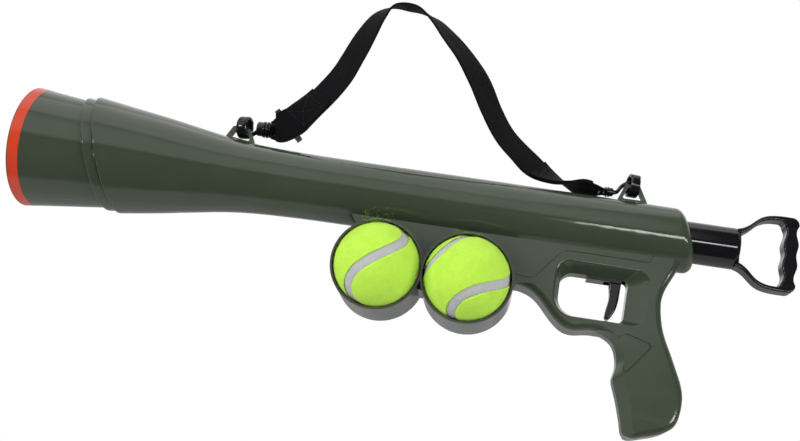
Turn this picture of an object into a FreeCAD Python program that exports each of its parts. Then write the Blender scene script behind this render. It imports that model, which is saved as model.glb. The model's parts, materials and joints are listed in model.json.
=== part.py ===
import FreeCAD, Part
import math
import os
from FreeCAD import Vector, Placement, Rotation

# Hand-held launcher for tennis balls: a flared barrel with a trumpet muzzle, a web with two
# ball cups, a trigger guard and a pistol grip, a sprung plunger pulled by a D-handle, and a
# webbing sling hung from two loops. X runs from the muzzle to the rear along the bore, Y points
# away from the ball cups' mouths and Z points up. The bore axis is Y = Z = 0. Pieces are drawn
# with the rim's front plane at rim_x, and at the end all move together so that it lies at X = 0.

os.makedirs("parts", exist_ok=True)
doc = FreeCAD.newDocument("launcher")

# Driving sizes, in millimetres and degrees
sheet = doc.addObject("Spreadsheet::Sheet", "Sizes")
SIZES = [
    ("ball_d", 65.0),
    ("wall", 2.4),
    ("bore_r", 22.3),
    ("gap", 0.3),
    ("rim_x", 10.0),
    ("rim_r", 47.5),
    ("band_len", 9.0),
    ("band_depth", 1.2),
    ("cone_slope", 0.117),
    ("rake_slope", 0.34),
    ("bead_front", 65.0),
    ("bead_rear", 74.0),
    ("bead_rise", 2.4),
    ("spigot_end", 100.0),
    ("rear_face", 527.6),
    ("rear_rake", 0.32),
    ("end_wall", 511.0),
    ("web_half", 15.0),
    ("edge_round", 4.5),
    ("end_round", 6.0),
    ("flank_deep", 9.0),
    ("cup_x1", 303.2),
    ("cup_x2", 370.4),
    ("cup_z", -58.9),
    ("cup_wall", 1.6),
    ("cup_near", 28.5),
    ("cup_far", 15.6),
    ("cup_floor", 2.6),
    ("pump_r", 15.6),
    ("pump_wall", 2.4),
    ("pump_front", 160.0),
    ("pump_rear", 563.0),
    ("head_len", 22.0),
    ("bulkhead_x", 424.0),
    ("bulkhead_len", 6.0),
    ("guard_deep", 9.0),
    ("travel", 130.0),
    ("handle_deep", 13.0),
    ("pivot_x", 481.0),
    ("pivot_z", -30.5),
    ("sear_x", 436.0),
    ("sear_z", -27.0),
    ("sear_reach", 16.0),
    ("pin_r", 1.5),
    ("strap_w", 25.0),
    ("strap_t", 1.6),
]
for row, (alias, value) in enumerate(SIZES, start=1):
    sheet.set("A%d" % row, alias)
    sheet.set("B%d" % row, str(value))
    sheet.setAlias("B%d" % row, alias)
doc.recompute()


def size(alias):
    """Value of one named size."""
    return float(getattr(sheet, alias))


WALL = size("wall")
GAP = size("gap")
BALL_R = size("ball_d") / 2.0
RAKE = size("rake_slope")
WEB = size("web_half")
LOW_ROOM = WEB - size("guard_deep") + 1.6
CUP_IN = BALL_R + GAP
CUP_OUT = CUP_IN + size("cup_wall")
CUPS = [(size("cup_x1"), size("cup_z")), (size("cup_x2"), size("cup_z"))]
CUP_DEPTH = size("cup_far") - size("cup_floor")
BALL_Y = CUP_DEPTH - GAP - BALL_R
PUMP_R = size("pump_r")
BUSH_IN = PUMP_R + GAP
PIN_R = size("pin_r")
PIVOT = (size("pivot_x"), size("pivot_z"))
SEAR = (size("sear_x"), size("sear_z"))
BULK_X = size("bulkhead_x")
BULK_END = BULK_X + size("bulkhead_len")

PUMP_END = size("pump_rear")
SEAR_NOSE = SEAR[0] + size("sear_reach")

# Underside of the web, guard and grip, from the second cup to the toe of the grip
UNDER = [(402, -54), (410, -55), (417, -57.2), (424, -62), (431.5, -70), (439, -77.2),
         (446, -81.3), (453, -82), (461, -80.6), (469, -80.2), (476.5, -82.6), (482, -87),
         (484.8, -93), (486, -99.5), (485.6, -105.5), (484.6, -111), (486, -117),
         (489.3, -126), (492.3, -136), (494.6, -145)]
# Toe, butt and heel of the grip
BUTT = [(496.0, -149.6), (500.2, -152.3), (508, -150.8), (516, -148.3), (524, -144.8),
        (530.6, -139.2)]
# Back of the grip, from the heel up to the barrel
BACK = [(533.6, -130), (534.3, -121), (532.2, -109.5), (528, -99.5), (523, -88.5),
        (518, -78), (514.8, -68.5), (513, -59), (512.5, -50.5), (514, -43), (517.3, -35),
        (521, -27), (522.5, -20)]


RIM_X = size("rim_x")
BAND_END = RIM_X + size("band_len")


def cone(x):
    """Outer radius of the muzzle cup's plain cone."""
    return size("rim_r") - size("cone_slope") * (x - RIM_X)


# Height of the flare's outside over the muzzle cup's cone, then the barrel's outer radius
FLARE = [(56, 5.2), (72, 4.85), (88, 4.3), (110, 3.7), (140, 2.3)]
TUBE = [(160, 31.2), (180, 28.4), (204, 26.6), (230, 25.7), (265, 25.3), (300, 25.2), (340, 25.2),
        (380, 25.1), (420, 24.9), (460, 24.6), (500, 24.2), (545, 23.8)]
BARREL = [(x, cone(x) + rise) for x, rise in FLARE] + TUBE


def inset(points, d):
    """The same run of points moved d to its left-hand side."""
    out = []
    for i, (x, z) in enumerate(points):
        ax, az = points[max(i - 1, 0)]
        bx, bz = points[min(i + 1, len(points) - 1)]
        long = math.hypot(bx - ax, bz - az)
        out.append((x - d * (bz - az) / long, z + d * (bx - ax) / long))
    return out


def v2(p):
    return Vector(p[0], p[1], 0)


def line(a, b):
    return Part.LineSegment(v2(a), v2(b))


def lines(points):
    """Closed outline of straight edges."""
    return [line(a, b) for a, b in zip(points, points[1:] + points[:1])]


def spline(points):
    curve = Part.BSplineCurve()
    curve.interpolate([v2(p) for p in points])
    return curve


def arc3(a, b, c):
    return Part.Arc(v2(a), v2(b), v2(c))


def circle(c, r):
    return Part.Circle(v2(c), Vector(0, 0, 1), r)


def arc_of(c, r, a0, a1):
    return Part.ArcOfCircle(circle(c, r), math.radians(a0), math.radians(a1))


def rounded(points, radii):
    """Closed outline of straight edges with rounded corners."""
    n = len(points)
    if not isinstance(radii, (list, tuple)):
        radii = [radii] * n
    ends = []
    for i in range(n):
        p = v2(points[i])
        u = (v2(points[i - 1]) - p).normalize()
        w = (v2(points[(i + 1) % n]) - p).normalize()
        half = 0.5 * math.acos(max(-1.0, min(1.0, u.dot(w))))
        if radii[i] <= 0:
            ends.append((p, None, p))
            continue
        back = radii[i] / math.tan(half)
        mid = p + (u + w).normalize() * (radii[i] / math.sin(half) - radii[i])
        ends.append((p + u * back, mid, p + w * back))
    out = []
    for i in range(n):
        a, m, b = ends[i]
        if m is not None:
            out.append(Part.Arc(a, m, b))
        nxt = ends[(i + 1) % n][0]
        if (nxt - b).Length > 1e-6:
            out.append(Part.LineSegment(b, nxt))
    return out


def body(label):
    b = doc.addObject("PartDesign::Body", label)
    b.Label = label
    return b


def sketch(b, role, geometry, lift=0.0, name="Outline"):
    """Sketch on one of the body's origin planes, lifted along the plane's normal."""
    sk = b.newObject("Sketcher::SketchObject", name)
    plane = [f for f in b.Origin.OriginFeatures if f.Role == role][0]
    sk.AttachmentSupport = [(plane, "")]
    sk.MapMode = "FlatFace"
    sk.AttachmentOffset = Placement(Vector(0, 0, lift), Rotation())
    sk.addGeometry(geometry, False)
    doc.recompute()
    return sk


def feature(b, kind, sk, **props):
    f = b.newObject("PartDesign::" + kind, kind)
    f.Profile = sk
    for key, value in props.items():
        setattr(f, key, value)
    sk.Visibility = False
    doc.recompute()
    if f.Shape.isNull() or not f.isValid():
        raise RuntimeError("%s of %s failed" % (f.Name, b.Label))
    return f


def pad(b, sk, length, reverse=False, both=False):
    return feature(b, "Pad", sk, Type=0, Length=length, Reversed=reverse, Midplane=both)


def cut(b, sk, length=0.0, reverse=False, both=False):
    """Pocket that must take material away."""
    before = b.Shape.Volume
    f = feature(b, "Pocket", sk, Type=0, Length=length, Reversed=reverse, Midplane=both)
    if f.Shape.Volume > before - 1e-3:
        raise RuntimeError("a pocket of %s took nothing" % b.Label)
    return f


def revolve(b, sk, angle=360.0, reverse=False, axis="H_Axis"):
    return feature(b, "Revolution", sk, ReferenceAxis=(sk, [axis]), Angle=angle,
                   Reversed=reverse)


def groove(b, sk, axis="H_Axis"):
    before = b.Shape.Volume
    f = feature(b, "Groove", sk, ReferenceAxis=(sk, [axis]), Angle=360.0)
    if f.Shape.Volume > before - 1e-3:
        raise RuntimeError("a groove of %s took nothing" % b.Label)
    return f


def dress(b, kind, amount, test):
    """Fillet or chamfer of the edges whose middle point passes the test."""
    tip = b.Tip
    names = []
    for i, e in enumerate(tip.Shape.Edges, start=1):
        mid = e.valueAt(0.5 * (e.FirstParameter + e.LastParameter))
        if test(e, mid):
            names.append("Edge%d" % i)
    f = b.newObject("PartDesign::" + kind, kind)
    f.Base = (tip, names)
    if kind == "Fillet":
        f.Radius = amount
    else:
        f.Size = amount
    doc.recompute()
    if not names or f.Shape.isNull() or not f.isValid():
        raise RuntimeError("%s of %s failed on %d edges" % (kind, b.Label, len(names)))
    return f


def near(a, b, tol=0.05):
    return abs(a - b) < tol


def raked(z, front, slope):
    return front - slope * z


# Opening inside the trigger guard: its outline on the side face, then at mid-plane
GUARD_OUT = [(434.6, -31.0), (502.4, -31.6), (502.0, -72.6), (434.6, -73.0)]
GUARD_OUT_R = [10.5, 9, 8, 15]
GUARD = [(438.2, -38.4), (488.0, -38.4), (487.2, -70.5), (438.2, -70.5)]
GUARD_R = [9.5, 4, 4, 13]
HALF_APART = (CUPS[1][0] - CUPS[0][0]) / 2.0
CUPS_MEET = math.sqrt(CUP_OUT ** 2 - HALF_APART ** 2)
SCREWS = [(511.0, -136.0), (499.0, -96.0), (508.5, -46.0), (427.0, -55.5),
          (CUPS[0][0] + HALF_APART, CUPS[0][1] + CUPS_MEET + 13.0)]
LINE = [(404.4, -48.4), (417.8, -49.8), (437.6, -24.6), (500.4, -24.9), (503.4, -18.6)]
LINE_R = [0, 9, 11, 2.6, 0]
THUMB = [(483.0, -82.6), (489.5, -78.6), (510.2, -84.8), (491.6, -109.5)]
THUMB_R = [3, 8, 3, 2]
# Width of the sloping flank along the front of the grip, at points of its underside
FLANK = [(469, -80.2, 0.6), (476.5, -82.6, 3.0), (482, -87, 4.8), (484.8, -93, 5.2), (486, -99.5, 4.6),
         (485.6, -105.5, 5.0), (484.6, -111, 6.4), (486, -117, 7.4), (489.3, -126, 7.6),
         (492.3, -136, 7.2), (494.6, -145, 6.6), (496.4, -151.6, 6.4)]


def barrel_top(extra=0.0):
    return spline([(x, r + extra) for x, r in BARREL])


def run_of(top, low):
    """Closed outline between two runs of points."""
    return [spline(top), line(top[-1], low[-1]), spline(list(reversed(low))), line(low[0], top[0])]


def shrunk(points, d):
    """Closed outline of straight edges moved d inwards; its points go clockwise."""
    out = []
    n = len(points)
    for i, p in enumerate(points):
        a, c = v2(points[i - 1]), v2(points[(i + 1) % n])
        u, w = (v2(p) - a).normalize(), (c - v2(p)).normalize()
        side = Vector(u.y, -u.x, 0) + Vector(w.y, -w.x, 0)
        out.append(v2(p) + side * (d / (1 + u.dot(w))))
    return [(p.x, p.y) for p in out]


def slope(b, side, outer, inner, high, low):
    """Cut that narrows from one outline on the side face to another one deeper in."""
    before = b.Shape.Volume
    first = sketch(b, "XZ_Plane", outer, -side * high)
    last = sketch(b, "XZ_Plane", inner, -side * low)
    f = b.newObject("PartDesign::SubtractiveLoft", "Slope")
    f.Profile = first
    f.Sections = [last]
    f.Ruled = True
    first.Visibility = False
    last.Visibility = False
    doc.recompute()
    if f.Shape.isNull() or not f.isValid() or f.Shape.Volume > before - 1e-3:
        raise RuntimeError("a slope of %s failed" % b.Label)
    return f


def make_shell(label, side):
    """One half of the body moulding. side is -1 for the cups' mouth side, +1 for the other."""
    b = body(label)
    rev = side > 0
    # Web, trigger guard and grip
    outline = [spline(UNDER + BUTT + BACK)]
    tail = [BACK[-1], (522.5, -8), (277, -8), (275.0, -19), (281, -27.5), (303, -56),
            (332, -70.6), (341, -70.8), (372, -56), UNDER[0]]
    outline += [line(a, c) for a, c in zip(tail, tail[1:])]
    pad(b, sketch(b, "XZ_Plane", outline), WEB, rev)
    dress(b, "Fillet", size("edge_round"),
          lambda e, m: near(abs(m.y), WEB) and m.z < -19.5 and m.x > 405)
    # Barrel, full inside
    rake_top = [line((56, BARREL[0][1]), (56, 0)), line((56, 0), (545, 0)),
                line((545, 0), (545, BARREL[-1][1]))]
    revolve(b, sketch(b, "XZ_Plane", [barrel_top()] + rake_top), 180.0, side > 0)
    # Raked front and rear ends
    front = size("bead_rear")
    cut(b, sketch(b, "XZ_Plane", lines([(raked(60, front, RAKE), 60), (raked(-60, front, RAKE), -60),
                                        (20, -60), (20, 60)])), 60.0, not rev)
    rear = size("rear_face")
    rr = size("rear_rake")
    cut(b, sketch(b, "XZ_Plane", lines([(raked(40, rear, rr), 40), (raked(-26, rear, rr), -26),
                                        (570, -26), (570, 40)])), 60.0, not rev)
    dress(b, "Fillet", size("end_round"), lambda e, m: near(m.x, raked(m.z, rear, rr)) and abs(m.y) > 1
          and math.hypot(m.y, m.z) > 20)
    dress(b, "Fillet", 1.2, lambda e, m: near(m.x, raked(m.z, front, RAKE)) and abs(m.y) > 1)
    # Ball cups
    depth = size("cup_near") if side < 0 else size("cup_far")
    for c in CUPS:
        pad(b, sketch(b, "XZ_Plane", [circle(c, CUP_OUT)]), depth, rev)
    # Bore of the barrel and way through the rear wall
    fine = size("bore_r")
    inner = spline([(x, r - WALL) for x, r in BARREL if x < 390] + [(404, fine)])
    x0, r0 = BARREL[0]
    bore = [inner, line((404, fine), (size("end_wall"), fine)),
            line((size("end_wall"), fine), (size("end_wall"), BUSH_IN + 0.4)),
            line((size("end_wall"), BUSH_IN + 0.4), (560, BUSH_IN + 0.4)),
            line((560, BUSH_IN + 0.4), (560, 0)), line((560, 0), (x0, 0)),
            line((x0, 0), (x0, r0 - WALL))]
    groove(b, sketch(b, "XZ_Plane", bore))
    # Cup bores
    for c in CUPS:
        cut(b, sketch(b, "XZ_Plane", [circle(c, CUP_IN)]), 60.0 if side < 0 else CUP_DEPTH, not rev)
    # Housing for the sear, and below it the narrower one for the trigger between the guard's slopes
    room = lines([(431, -12), (431, -28.7), (504, -28.7), (504, -12)])
    cut(b, sketch(b, "XZ_Plane", room), WEB - WALL, not rev)
    room = rounded([(431, -28), (431, -34.6), (504, -34.6), (504, -28)], [0, 2, 2, 0])
    cut(b, sketch(b, "XZ_Plane", room), LOW_ROOM, not rev)
    # Hollow grip
    low = [p for p in UNDER if p[1] < -86 and p[1] > -140]
    high = [p for p in BACK if p[1] > -135 and p[1] < -64]
    a = inset(low, 9.6)
    c = inset(high, 3.2)
    hollow = [spline(a), line(a[-1], (500.5, -148.4)), line((500.5, -148.4), (527.5, -138.5)),
              line((527.5, -138.5), c[0]), spline(c), line(c[-1], (497, -74)), line((497, -74), a[0])]
    cut(b, sketch(b, "XZ_Plane", hollow), WEB - WALL, not rev)
    # Opening inside the trigger guard, with sides that slope in from the side face
    cut(b, sketch(b, "XZ_Plane", rounded(GUARD, GUARD_R)), 40.0, not rev)
    deep = size("guard_deep")
    slope(b, side, rounded(GUARD_OUT, GUARD_OUT_R), rounded(GUARD, GUARD_R), WEB, WEB - deep)
    dress(b, "Fillet", 1.6, lambda e, m: near(abs(m.y), WEB) and 430 < m.x < 504
          and -75 < m.z < -30 and e.Length < 70)
    # Sloping flank along the front of the grip
    rim = [(x, z) for x, z, w in FLANK]
    out = inset(rim, -3.0)
    top = [inset(rim, w)[i] for i, (x, z, w) in enumerate(FLANK)]
    low = inset(rim, 0.15)
    slope(b, side, run_of(top, out), run_of(low, out), WEB + 0.01, WEB - size("flank_deep"))
    # Slot for the trigger through the guard's ceiling
    slot = lines([(471, -33), (487, -33), (487, -39.5), (471, -39.5)])
    cut(b, sketch(b, "XZ_Plane", slot), 5.2, not rev)
    # Panel lines on the side face
    track = rounded(LINE + list(reversed(inset(LINE, 0.9))), LINE_R + list(reversed(LINE_R)))
    cut(b, sketch(b, "XZ_Plane", track, -side * (WEB - 0.6)), 5.0, not rev)
    panel = rounded(THUMB, THUMB_R) + rounded(shrunk(THUMB, 0.9), [r - 0.8 for r in THUMB_R])
    cut(b, sketch(b, "XZ_Plane", panel, -side * (WEB - 0.6)), 5.0, not rev)
    # Screw posts in the hollow grip, then pilot or clearance holes
    for s in SCREWS[:2]:
        pad(b, sketch(b, "XZ_Plane", [circle(s, 4.2)]), WEB - WALL, rev)
    for s in SCREWS:
        if side < 0:
            cut(b, sketch(b, "XZ_Plane", [circle(s, 1.35)]), 9.0, not rev)
        else:
            cut(b, sketch(b, "XZ_Plane", [circle(s, 1.8)]), 60.0, not rev)
            cut(b, sketch(b, "XZ_Plane", [circle(s, 3.4)], -(WEB - 5.0)), 60.0, not rev)
    return b



MOUTH_R = cone(BAND_END) - size("band_depth") - 1.6


def make_collar():
    """Muzzle cup with a raked bead and a spigot that runs inside the flare."""
    b = body("muzzle_collar")
    rise = size("bead_rise")
    lo, hi = size("bead_front") - 20, size("bead_rear") + 21
    ring = [(lo, cone(lo) - WALL), (lo, cone(lo) + rise), (hi, cone(hi) + rise), (hi, cone(hi) - WALL)]
    revolve(b, sketch(b, "XZ_Plane", lines(ring)))
    for front, far in ((size("bead_front"), 20), (size("bead_rear"), 130)):
        edge = [(raked(60, front, RAKE), 60), (raked(-60, front, RAKE), -60), (far, -60), (far, 60)]
        cut(b, sketch(b, "XZ_Plane", lines(edge)), 140.0, False, True)
    dress(b, "Fillet", 1.0, lambda e, m: math.hypot(m.y, m.z) > cone(m.x) + 1.0)
    end = size("spigot_end")
    band = BAND_END
    deep = size("band_depth")
    wall = [(RIM_X, MOUTH_R), (RIM_X, cone(RIM_X) - deep), (band, cone(band) - deep), (band, cone(band)),
            (end, cone(end)), (end, cone(end) - WALL), (band + 2, MOUTH_R)]
    revolve(b, sketch(b, "XZ_Plane", lines(wall)))
    return b


def make_ring(label, points):
    """Turned piece about the bore axis from its half section."""
    b = body(label)
    revolve(b, sketch(b, "XZ_Plane", lines(points)))
    return b


def make_pump():
    """Pump tube with the notch that the sear drops into when the plunger is drawn."""
    b = make_ring("pump_tube", [(size("pump_front"), PUMP_R - size("pump_wall")),
                                (size("pump_front"), PUMP_R), (size("pump_rear") - 0.8, PUMP_R),
                                (size("pump_rear"), PUMP_R - 0.8),
                                (size("pump_rear"), PUMP_R - size("pump_wall"))])
    x = SEAR_NOSE - size("travel")
    cut(b, sketch(b, "XY_Plane", lines([(x - 5, -4.6), (x + 5, -4.6), (x + 5, 4.6), (x - 5, 4.6)])),
        40.0)
    return b


# D-handle's outer and inner edges and the waved bar, measured from the pump tube's end
D_OUT = [(0.3, 14.7), (4, 15.8), (9.5, 19.4), (14.5, 24.0), (20, 27.2), (26.5, 28.6), (33, 29.0),
         (38.4, 28.9)]
D_IN = [(3, 11.3), (6, 12.8), (10.5, 16.3), (15, 20.8), (20, 23.8), (25.5, 25.2), (30, 25.4)]
BAR_OUT = [(44.8, 22.6), (43.3, 16.2), (45.2, 8.0), (44.0, 0.0)]
BAR_IN = [(34.2, 22.0), (35.8, 15.6), (34.2, 8.0), (35.4, 0.0)]


def flip(points):
    return [(x, -z) for x, z in reversed(points)]


def from_end(points):
    """Points given from the pump tube's end, in the row's frame."""
    return [(PUMP_END + x, z) for x, z in points]


def make_handle():
    """D-handle: two flat arms, a waved grip bar and a plug inside the pump tube."""
    b = body("d_handle")
    top, bar = from_end(D_OUT), from_end(BAR_OUT)
    low = flip(top)
    out = [spline(top), arc3(top[-1], (PUMP_END + 43.6, 26.8), bar[0]), spline(bar + flip(bar)[1:]),
           arc3(flip(bar)[-1], (PUMP_END + 43.6, -26.8), low[0]), spline(low), line(low[-1], top[0])]
    top, bar = from_end(D_IN), from_end(BAR_IN)
    low = flip(top)
    inner = [spline(top), arc3(top[-1], (PUMP_END + 33.2, 24.4), bar[0]), spline(bar + flip(bar)[1:]),
             arc3(flip(bar)[-1], (PUMP_END + 33.2, -24.4), low[0]), spline(low), line(low[-1], top[0])]
    deep = size("handle_deep")
    pad(b, sketch(b, "XZ_Plane", out + inner), deep, False, True)
    dress(b, "Fillet", 1.2, lambda e, m: near(abs(m.y), deep / 2) and m.x > PUMP_END + 3.1)
    inside = PUMP_R - size("pump_wall") - 0.05
    plug = [(PUMP_END - 24, 0), (PUMP_END - 24, inside), (PUMP_END + 0.05, inside),
            (PUMP_END + 0.05, PUMP_R - 0.9), (PUMP_END + 2.0, PUMP_R - 2.0), (PUMP_END + 2.0, 0)]
    revolve(b, sketch(b, "XZ_Plane", lines(plug)))
    return b


def make_coil(label, mean_r, wire_r, length, turns, role="XZ_Plane", along="H_Axis"):
    """Coil spring along the sketch's axis, starting at the local origin."""
    b = body(label)
    start = (wire_r, mean_r) if along == "H_Axis" else (mean_r, wire_r)
    sk = sketch(b, role, [circle(start, wire_r)])
    f = b.newObject("PartDesign::AdditiveHelix", "Coil")
    f.Profile = sk
    f.ReferenceAxis = (sk, [along])
    f.Mode = 0
    f.Pitch = (length - 2 * wire_r) / turns
    f.Height = length - 2 * wire_r
    doc.recompute()
    return b


def make_trigger():
    b = body("trigger")
    px, pz = PIVOT
    front = [(473.9, -40), (475.2, -46), (475.7, -53), (474.4, -61), (473.9, -66.2)]
    rear = [(477.9, -67.2), (480.6, -62.6), (482.4, -55.0), (482.9, -47.5), (483.4, -40)]
    shape = [line((465.4, -29.4), (473.9, -33.0)), line((473.9, -33.0), front[0]), spline(front),
             arc3(front[-1], (475.8, -68.4), rear[0]), spline(rear), line(rear[-1], (485.6, -33.0)),
             arc3((485.6, -33.0), (484.9, -27.0), (px, pz + 5.2)),
             line((px, pz + 5.2), (476.4, -26.3)), line((476.4, -26.3), (465.4, -26.3)),
             line((465.4, -26.3), (465.4, -29.4))]
    pad(b, sketch(b, "XZ_Plane", shape + [circle(PIVOT, PIN_R + 0.05)]), 8.4, False, True)
    dress(b, "Fillet", 1.3, lambda e, m: near(abs(m.y), 4.2) and m.z < -40.5)
    return b


def make_sear():
    b = body("sear")
    top = -(PUMP_R + GAP)
    n = SEAR_NOSE
    shape = [line((436, -23), (n - 4.6, -21.5)), line((n - 4.6, -21.5), (n - 3, top)),
             line((n - 3, top), (n + 3, top)), line((n + 3, top), (n + 4.6, -21)),
             line((n + 4.6, -21), (467.8, -22.2)), line((467.8, -22.2), (467.8, -26.0)),
             line((467.8, -26.0), (464.4, -26.0)), line((464.4, -26.0), (459, -29.4)),
             line((459, -29.4), (436, -31)), arc3((436, -31), (432, -27), (436, -23))]
    pad(b, sketch(b, "XZ_Plane", shape + [circle(SEAR, PIN_R + 0.05)]), 8.0, False, True)
    return b


def make_pin(label, at, half):
    """Steel pin across the housing, which it spans from wall to wall."""
    b = body(label)
    pad(b, sketch(b, "XZ_Plane", [circle(at, PIN_R)]), 2 * half, False, True)
    return b


def make_plate():
    """Black plate under the guard's ceiling that the trigger passes through."""
    b = body("trigger_plate")
    thick = 2.6
    u = lines([(457.5, -6.2), (483, -6.2), (483, -4.9), (470.4, -4.9), (470.4, 4.9), (483, 4.9),
               (483, 6.2), (457.5, 6.2)])
    pad(b, sketch(b, "XY_Plane", u, GUARD[0][1] - thick), thick)
    return b


def make_screws():
    """Identical self-tapping screws from the far side."""
    b = body("shell_screws")
    seat = WEB - 5.0
    sk = sketch(b, "XZ_Plane", [circle(s, 3.1) for s in SCREWS], -seat)
    pad(b, sk, 2.4, True)
    sk = sketch(b, "XZ_Plane", [circle(s, 1.35) for s in SCREWS], -seat)
    f = pad(b, sk, seat + 8.4)
    return b


def make_loop(label, outer, inner):
    """Sling loop standing on the barrel's crown."""
    b = body(label)
    pad(b, sketch(b, "XZ_Plane", rounded(outer, [0, 2, 2, 0]) + rounded(inner, 1.2)), 5.6, False, True)
    under = [barrel_top(), line((56, BARREL[0][1]), (56, 0)), line((56, 0), (545, 0)),
             line((545, 0), (545, BARREL[-1][1]))]
    groove(b, sketch(b, "XZ_Plane", under))
    return b


HOOK_TURN = -65.0
HOOK_IN = 6.4
HOOK_OUT = 9.0
HOOK_W = 5.6
NECK_R = 2.0
GATE = (-12.0, 42.0)


def ring_spot(r, a, flipped=False):
    """Point on a snap hook's ring in its own plane; flipped puts the gate on the other side."""
    a = math.radians(180.0 - a if flipped else a)
    return (r * math.cos(a), r * math.sin(a))


def ring_arc(r, a0, a1, flipped=False):
    if flipped:
        a0, a1 = 180.0 - a1, 180.0 - a0
    return arc_of((0, 0), r, a0, a1)


def make_hook(label, centre, path, flipped):
    """Open ring of a snap hook, with the bent neck that joins it to the swivel."""
    b = body(label)
    a0, a1 = GATE[1], GATE[0] + 360.0
    shape = [line(ring_spot(HOOK_IN, a0, flipped), ring_spot(HOOK_OUT, a0, flipped)),
             ring_arc(HOOK_OUT, a0, a1, flipped),
             line(ring_spot(HOOK_OUT, a1, flipped), ring_spot(HOOK_IN, a1, flipped)),
             ring_arc(HOOK_IN, a0, a1, flipped)]
    pad(b, sketch(b, "XZ_Plane", shape), HOOK_W, False, True)
    dress(b, "Fillet", 0.9, lambda e, m: near(abs(m.y), HOOK_W / 2) and e.Length > 20)
    place = Placement(Vector(*centre), Rotation(Vector(0, 0, 1), HOOK_TURN))
    points = [place.inverse().multVec(Vector(*p)) for p in path]
    for p, q in zip(points, points[1:]):
        c = b.newObject("PartDesign::AdditiveCylinder", "Neck")
        c.Radius = NECK_R
        c.Height = (q - p).Length
        c.Placement = Placement(p, Rotation(Vector(0, 0, 1), q - p))
    for p in points[1:]:
        c = b.newObject("PartDesign::AdditiveSphere", "Elbow")
        c.Radius = NECK_R
        c.Placement = Placement(p, Rotation())
    doc.recompute()
    b.Placement = place
    return b


def make_gate(label, centre, flipped):
    """Sprung gate that closes the ring of a snap hook and turns about its round lower end."""
    b = body(label)
    slack = math.degrees(GAP / HOOK_IN)
    r0, r1 = HOOK_IN + 0.3, HOOK_OUT - 0.3
    mid = (r0 + r1) / 2.0
    a0 = GATE[0] + slack + math.degrees((r1 - r0) / 2.0 / mid)
    a1 = GATE[1] - 2.0 * slack
    low, high = ring_spot(r0, a0, flipped), ring_spot(r1, a0, flipped)
    tip = ring_spot(mid, GATE[0] + slack, flipped)
    shape = [arc3(low, tip, high), ring_arc(r1, a0, a1, flipped),
             line(ring_spot(r1, a1, flipped), ring_spot(r0, a1, flipped)), ring_arc(r0, a0, a1, flipped)]
    pad(b, sketch(b, "XZ_Plane", shape), 4.4, False, True)
    b.Placement = Placement(Vector(*centre), Rotation(Vector(0, 0, 1), HOOK_TURN))
    return b


def make_swivel(label, at, aim, sizes):
    """Swivel barrel with a flat eye for the webbing. sizes: radius, length, eye width."""
    r, length, wide = sizes
    b = body(label)
    half = [(0, 0), (0, r - 1.0), (1.0, r), (length * 0.45, r), (length * 0.5, r - 0.8),
            (length * 0.6, r - 0.8), (length * 0.65, r), (length - 1, r), (length, r - 1), (length, 0)]
    revolve(b, sketch(b, "XZ_Plane", lines(half)))
    eye = [(length - 0.5, -wide / 2), (length + 4.5, -wide / 2), (length + 4.5, wide / 2),
           (length - 0.5, wide / 2)]
    hole = [(length + 0.9, -wide / 2 + 1.8), (length + 2.6, -wide / 2 + 1.8),
            (length + 2.6, wide / 2 - 1.8), (length + 0.9, wide / 2 - 1.8)]
    pad(b, sketch(b, "XZ_Plane", lines(eye) + lines(hole)), 3.2, False, True)
    turn = Rotation(Vector(0, 1, 0), aim)
    if aim > 90:
        turn = turn.multiply(Rotation(Vector(1, 0, 0), 90))
    b.Placement = Placement(Vector(*at), turn)
    return b


# Centre line of the webbing as it is carried: x, z, turn about its own line, share of full width
STRAP = [(202.2, 42.0, 0, 0.52), (204.6, 42.6, 0, 0.8), (207.2, 44.6, 0, 1), (213.6, 51.2, 0, 1),
         (218.2, 56.8, 9, 1), (224.4, 64.8, 18, 1), (234.4, 78.5, 23, 1), (243.8, 95.0, 27, 1),
         (250.8, 113.6, 31, 1), (257.6, 134.6, 37, 1), (265.0, 152.6, 48, 1), (275.0, 162.6, 66, 1),
         (288.0, 163.9, 77, 1), (300.3, 161.8, 74, 1), (312.8, 154.4, 62, 1), (325.6, 142.2, 53, 1),
         (340.0, 127.4, 48, 1), (354.6, 107.8, 42, 1), (367.0, 85.4, 43, 1), (380.0, 66.2, 41, 1),
         (394.4, 52.4, 37, 1), (408.2, 41.2, 36, 1), (423.0, 34.0, 58, 1), (434.5, 31.0, 78, 1),
         (445.0, 30.0, 101, 0.92), (452.5, 29.5, 98, 0.76), (457.6, 29.2, 90, 0.52)]


def strap_frame(i):
    """Place, direction along, and direction across the webbing at one station."""
    x, z, turn, share = STRAP[i]
    ax, az = STRAP[max(i - 1, 0)][:2]
    bx, bz = STRAP[min(i + 1, len(STRAP) - 1)][:2]
    along = Vector(bx - ax, 0, bz - az).normalize()
    up = Vector(-along.z, 0, along.x)
    t = math.radians(turn)
    across = up * math.cos(t) + Vector(0, 1, 0) * math.sin(t)
    return Vector(x, 0, z), along, across, share * size("strap_w")


def make_strap():
    """Webbing as one lofted solid."""
    half = size("strap_t") / 2
    wires = []
    for i in range(len(STRAP)):
        at, along, across, wide = strap_frame(i)
        thick = along.cross(across)
        corners = [at + across * (u * wide / 2) + thick * (w * half)
                   for u, w in ((-1, -1), (1, -1), (1, 1), (-1, 1))]
        wires.append(Part.makePolygon(corners + corners[:1]))
    f = doc.addObject("Part::Feature", "strap_webbing")
    f.Label = "strap_webbing"
    f.Shape = Part.makeLoft(wires, True, False)
    doc.recompute()
    return f


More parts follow.
